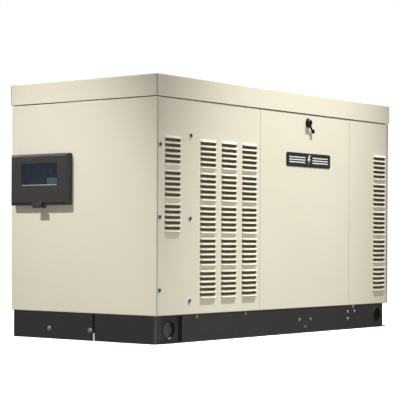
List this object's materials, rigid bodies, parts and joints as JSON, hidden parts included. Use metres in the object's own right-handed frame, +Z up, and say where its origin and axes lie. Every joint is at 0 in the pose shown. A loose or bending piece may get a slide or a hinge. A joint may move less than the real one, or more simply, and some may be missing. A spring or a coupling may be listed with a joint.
{
  "type": "home standby generator",
  "caption": "Liquid-cooled standby generator in a louvred sheet-metal enclosure on a black steel base, with lift-off service doors, hinged control cover, engine, alternator and radiator.",
  "frame": {"origin": "centre of the bounding box at the underside of the base", "axes": "+X along the case from the control end to the radiator discharge end, -Y towards the louvred front with its door, +Z up"},
  "size_m": [1.6116, 0.75, 0.957],
  "materials": {
    "cream_paint": "fine satin powder coat",
    "black_paint": "satin powder coat",
    "charcoal_plastic": "fine moulded texture",
    "smoked_window": "smoked polycarbonate",
    "black_zinc": "black zinc plate",
    "zinc_plate": "bright zinc plate",
    "rubber": "matte",
    "engine_paint": "painted casting",
    "cast_aluminium": "as cast",
    "foam": "sound-absorbing foam",
    "black_plastic": "moulded",
    "screen": "gloss",
    "red_plastic": "gloss",
    "yellow_plastic": "satin",
    "steel": "machined",
    "aluminised_steel": "dull",
    "white_paint": "gloss"
  },
  "bodies": {
    "case": {"front_louvre_panel": "cream_paint", "front_right_panel": "cream_paint", "rear_louvre_panel": "cream_paint", "rear_right_panel": "cream_paint", "control_end_panel": "cream_paint", "discharge_end_panel": "cream_paint", "roof": "cream_paint", "base_rail_front": "black_paint", "base_rail_rear": "black_paint", "crossmember_generator": "black_paint", "crossmember_engine": "black_paint", "floor_pan": "black_paint", "end_skirt_front": "black_paint", "end_skirt_rear": "black_paint", "control_housing": "black_plastic", "control_module": "charcoal_plastic", "touchscreen": "screen", "main_breaker": "black_plastic", "bulkhead": "zinc_plate", "mount_rail_generator": "steel", "mount_rail_engine": "steel", "stator_housing": "engine_paint", "flywheel_housing": "cast_aluminium", "starter_motor": "black_plastic", "engine_block": "engine_paint", "oil_pan": "black_paint", "cylinder_head": "cast_aluminium", "valve_cover": "black_plastic", "intake_manifold": "cast_aluminium", "exhaust_manifold": "engine_paint", "oil_filter": "white_paint", "charging_alternator": "cast_aluminium", "drive_belt": "rubber", "fan_shroud": "black_plastic", "radiator": "cast_aluminium", "upper_hose": "rubber", "exhaust_pipe": "aluminised_steel", "muffler": "aluminised_steel", "air_cleaner": "black_plastic", "battery": "black_plastic"},
    "control_cover": {"control_cover": "charcoal_plastic", "cover_window": "smoked_window"},
    "cover_latch": {"cover_latch": "charcoal_plastic"},
    "stop_button": {"stop_button": "red_plastic"},
    "front_door": {"front_door": "cream_paint", "front_door_lining": "foam", "front_latch_body": "black_zinc"},
    "front_latch": {"front_latch_knob": "black_zinc"},
    "front_key_cover": {"front_key_cover": "black_plastic"},
    "rear_door": {"rear_door": "cream_paint"},
    "rear_latch": {"rear_latch_knob": "black_zinc"},
    "breaker_toggle": {"breaker_toggle": "black_plastic"},
    "dipstick": {"dipstick": "yellow_plastic"},
    "oil_filler_cap": {"oil_filler_cap": "yellow_plastic"},
    "radiator_cap": {"radiator_cap": "steel"},
    "crankshaft": {"crank_pulley": "steel", "flywheel": "steel", "rotor": "steel"},
    "cooling_fan": {"cooling_fan": "black_plastic"},
    "charging_rotor": {"charging_pulley": "steel"}
  },
  "joints": [
    {"name": "control_cover_hinge", "type": "hinge", "parent": "case", "child": "control_cover", "pos_m": [-0.77475, 0.193, 0.6865], "axis": [0, 1, 0], "range_deg": [0, 90]},
    {"name": "cover_latch_pull", "type": "hinge", "parent": "control_cover", "child": "cover_latch", "pos_m": [-0.80325, 0.193, 0.504], "axis": [0, 1, 0], "range_deg": [0, 25], "stiffness_Nm_per_rad": 0.05},
    {"name": "stop_button_press", "type": "slide", "parent": "case", "child": "stop_button", "axis": [1, 0, 0], "range_m": [0, 0.006], "stiffness_N_per_m": 400},
    {"name": "front_door_tilt", "type": "hinge", "parent": "case", "child": "front_door", "pos_m": [0.17075, -0.359, 0.104], "axis": [1, 0, 0], "range_deg": [0, 30]},
    {"name": "front_latch_turn", "type": "hinge", "parent": "front_door", "child": "front_latch", "pos_m": [0.17575, -0.359, 0.842], "axis": [0, 1, 0], "range_deg": [0, 90]},
    {"name": "front_key_cover_swing", "type": "hinge", "parent": "front_door", "child": "front_key_cover", "pos_m": [0.18575, -0.3654, 0.825], "axis": [0, 1, 0], "range_deg": [-45, 45]},
    {"name": "rear_door_tilt", "type": "hinge", "parent": "case", "child": "rear_door", "pos_m": [0.17075, 0.359, 0.104], "axis": [-1, 0, 0], "range_deg": [0, 30]},
    {"name": "rear_latch_turn", "type": "hinge", "parent": "rear_door", "child": "rear_latch", "pos_m": [0.17575, 0.359, 0.842], "axis": [0, 1, 0], "range_deg": [0, 90]},
    {"name": "breaker_toggle_throw", "type": "hinge", "parent": "case", "child": "breaker_toggle", "pos_m": [-0.63825, -0.285, 0.57], "axis": [1, 0, 0], "range_deg": [-30, 30]},
    {"name": "dipstick_pull", "type": "slide", "parent": "case", "child": "dipstick", "axis": [0, 0, 1], "range_m": [0, 0.22]},
    {"name": "oil_filler_cap_turn", "type": "hinge", "parent": "case", "child": "oil_filler_cap", "pos_m": [0.07575, 0, 0.68], "axis": [0, 0, 1], "range_deg": [0, 90]},
    {"name": "radiator_cap_turn", "type": "hinge", "parent": "case", "child": "radiator_cap", "pos_m": [0.60775, -0.12, 0.866], "axis": [0, 0, 1], "range_deg": [0, 90]},
    {"name": "crankshaft_spin", "type": "hinge", "parent": "case", "child": "crankshaft", "pos_m": [0.46675, 0, 0.36], "axis": [1, 0, 0], "continuous": true},
    {"name": "cooling_fan_spin", "type": "hinge", "parent": "case", "child": "cooling_fan", "pos_m": [0.46675, 0, 0.5], "axis": [1, 0, 0], "continuous": true},
    {"name": "charging_rotor_spin", "type": "hinge", "parent": "case", "child": "charging_rotor", "pos_m": [0.46675, -0.185, 0.455], "axis": [1, 0, 0], "continuous": true}
  ],
  "couplings": [
    {"joint": "cooling_fan_spin", "follows": "crankshaft_spin", "ratio": 1.3636},
    {"joint": "charging_rotor_spin", "follows": "crankshaft_spin", "ratio": 2.3438}
  ]
}
